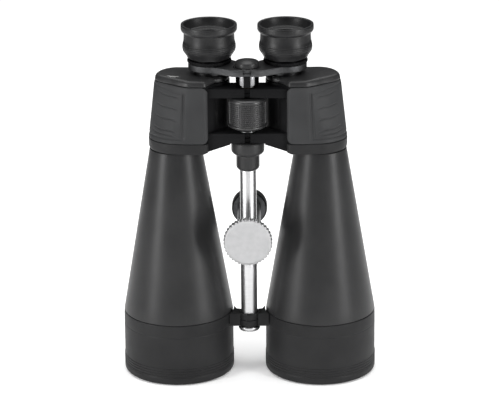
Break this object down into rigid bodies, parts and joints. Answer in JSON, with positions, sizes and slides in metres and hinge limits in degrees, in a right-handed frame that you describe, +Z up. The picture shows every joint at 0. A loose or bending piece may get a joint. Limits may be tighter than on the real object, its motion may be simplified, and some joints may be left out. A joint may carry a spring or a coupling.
{
  "type": "porro prism binoculars",
  "caption": "Giant Porro-prism binoculars standing on the objectives, with centre focusing, a hinge rod, fold-flat width setting and a sliding tripod adapter on the rod.",
  "frame": {"origin": "on the surface the objective rings stand on, at the middle of the bounding box", "axes": "+Z up along the hinge rod, +X to the right half seen from the front, +Y to the tripod foot"},
  "size_m": [0.2152, 0.098, 0.303],
  "materials": {
    "satin_black_paint": "satin black paint on aluminium",
    "matte_black_paint": "matte black paint on aluminium",
    "black_rubber": "moulded matte rubber",
    "bare_aluminium": "satin turned",
    "chrome": "polished",
    "grey_metal": "dark satin anodised",
    "optical_glass": "coated",
    "brass": "turned",
    "nylon": "self-coloured"
  },
  "bodies": {
    "left_half": {"objective_ring_left": "matte_black_paint", "objective_crown_left": "optical_glass", "objective_flint_left": "optical_glass", "lens_retainer_left": "matte_black_paint", "objective_tube_left": "satin_black_paint", "front_bridge_arm_left": "matte_black_paint", "prism_housing_left": "satin_black_paint", "prism_armour_left": "black_rubber", "prism_cover_left": "satin_black_paint", "prism_upper_left": "optical_glass", "prism_lower_left": "optical_glass", "prism_shelf_left": "matte_black_paint", "centre_rod": "bare_aluminium", "rod_end_cap": "bare_aluminium", "hinge_barrel": "matte_black_paint", "hinge_bush": "brass"},
    "right_half": {"objective_ring_right": "matte_black_paint", "objective_crown_right": "optical_glass", "objective_flint_right": "optical_glass", "lens_retainer_right": "matte_black_paint", "objective_tube_right": "satin_black_paint", "front_bridge_arm_right": "matte_black_paint", "prism_housing_right": "satin_black_paint", "prism_armour_right": "black_rubber", "prism_cover_right": "satin_black_paint", "prism_upper_right": "optical_glass", "prism_lower_right": "optical_glass", "prism_shelf_right": "matte_black_paint"},
    "left_ocular": {"focus_screw": "chrome", "focus_sleeve": "chrome", "hub_cap": "matte_black_paint", "ocular_arm_left": "grey_metal", "eyepiece_ring_left": "matte_black_paint", "eyepiece_tube_left": "satin_black_paint", "eye_lens_left": "optical_glass", "field_lens_left": "optical_glass", "eyecup_left": "black_rubber"},
    "right_ocular": {"ocular_arm_right": "grey_metal"},
    "right_eyepiece": {"eyepiece_tube_right": "satin_black_paint", "eye_lens_right": "optical_glass", "field_lens_right": "optical_glass", "eyecup_right": "black_rubber"},
    "dioptre_ring": {"dioptre_ring_right": "matte_black_paint"},
    "focus_wheel": {"focus_wheel": "black_rubber"},
    "adapter_liner": {"slider_bush": "nylon"},
    "tripod_adapter": {"tripod_post": "grey_metal", "tripod_foot": "grey_metal", "thread_insert": "brass"},
    "clamp_pad": {"clamp_pad": "nylon"},
    "clamp_knob": {"clamp_knob": "bare_aluminium", "clamp_screw": "chrome"}
  },
  "joints": [
    {"name": "interpupillary_fold", "type": "hinge", "parent": "left_half", "child": "right_half", "pos_m": [0, -0.0115, 0], "axis": [0, 0, 1], "range_deg": [-22, 22]},
    {"name": "focus_travel_left", "type": "slide", "parent": "left_half", "child": "left_ocular", "axis": [0, 0, 1], "range_m": [0, 0.01]},
    {"name": "focus_travel_right", "type": "slide", "parent": "right_half", "child": "right_ocular", "axis": [0, 0, 1], "range_m": [0, 0.01]},
    {"name": "focus_wheel_turn", "type": "hinge", "parent": "left_half", "child": "focus_wheel", "pos_m": [0, -0.0115, 0.232], "axis": [0, 0, 1], "range_deg": [0, 360]},
    {"name": "dioptre_travel", "type": "slide", "parent": "right_ocular", "child": "right_eyepiece", "axis": [0, 0, 1], "range_m": [-0.0015, 0.0015]},
    {"name": "dioptre_turn", "type": "hinge", "parent": "right_ocular", "child": "dioptre_ring", "pos_m": [0.03165, 0.004, 0.272], "axis": [0, 0, 1], "range_deg": [-60, 60]},
    {"name": "adapter_slide", "type": "slide", "parent": "left_half", "child": "adapter_liner", "axis": [0, 0, 1], "range_m": [-0.06, 0.04]},
    {"name": "adapter_turn", "type": "hinge", "parent": "adapter_liner", "child": "tripod_adapter", "pos_m": [0, -0.0115, 0.1295], "axis": [0, 0, 1], "range_deg": [-8, 8]},
    {"name": "clamp_travel", "type": "slide", "parent": "tripod_adapter", "child": "clamp_pad", "axis": [0, 1, 0], "range_m": [-0.001, 0]},
    {"name": "clamp_turn", "type": "hinge", "parent": "clamp_pad", "child": "clamp_knob", "pos_m": [0, -0.03, 0.1295], "axis": [0, 1, 0], "range_deg": [-360, 0]}
  ],
  "couplings": [
    {"joint": "focus_travel_right", "follows": "focus_travel_left", "ratio": 1},
    {"joint": "focus_wheel_turn", "follows": "focus_travel_left", "rad_per_m": 628.32},
    {"joint": "dioptre_turn", "follows": "dioptre_travel", "rad_per_m": 698.13},
    {"joint": "clamp_turn", "follows": "clamp_travel", "rad_per_m": 6283.2}
  ]
}
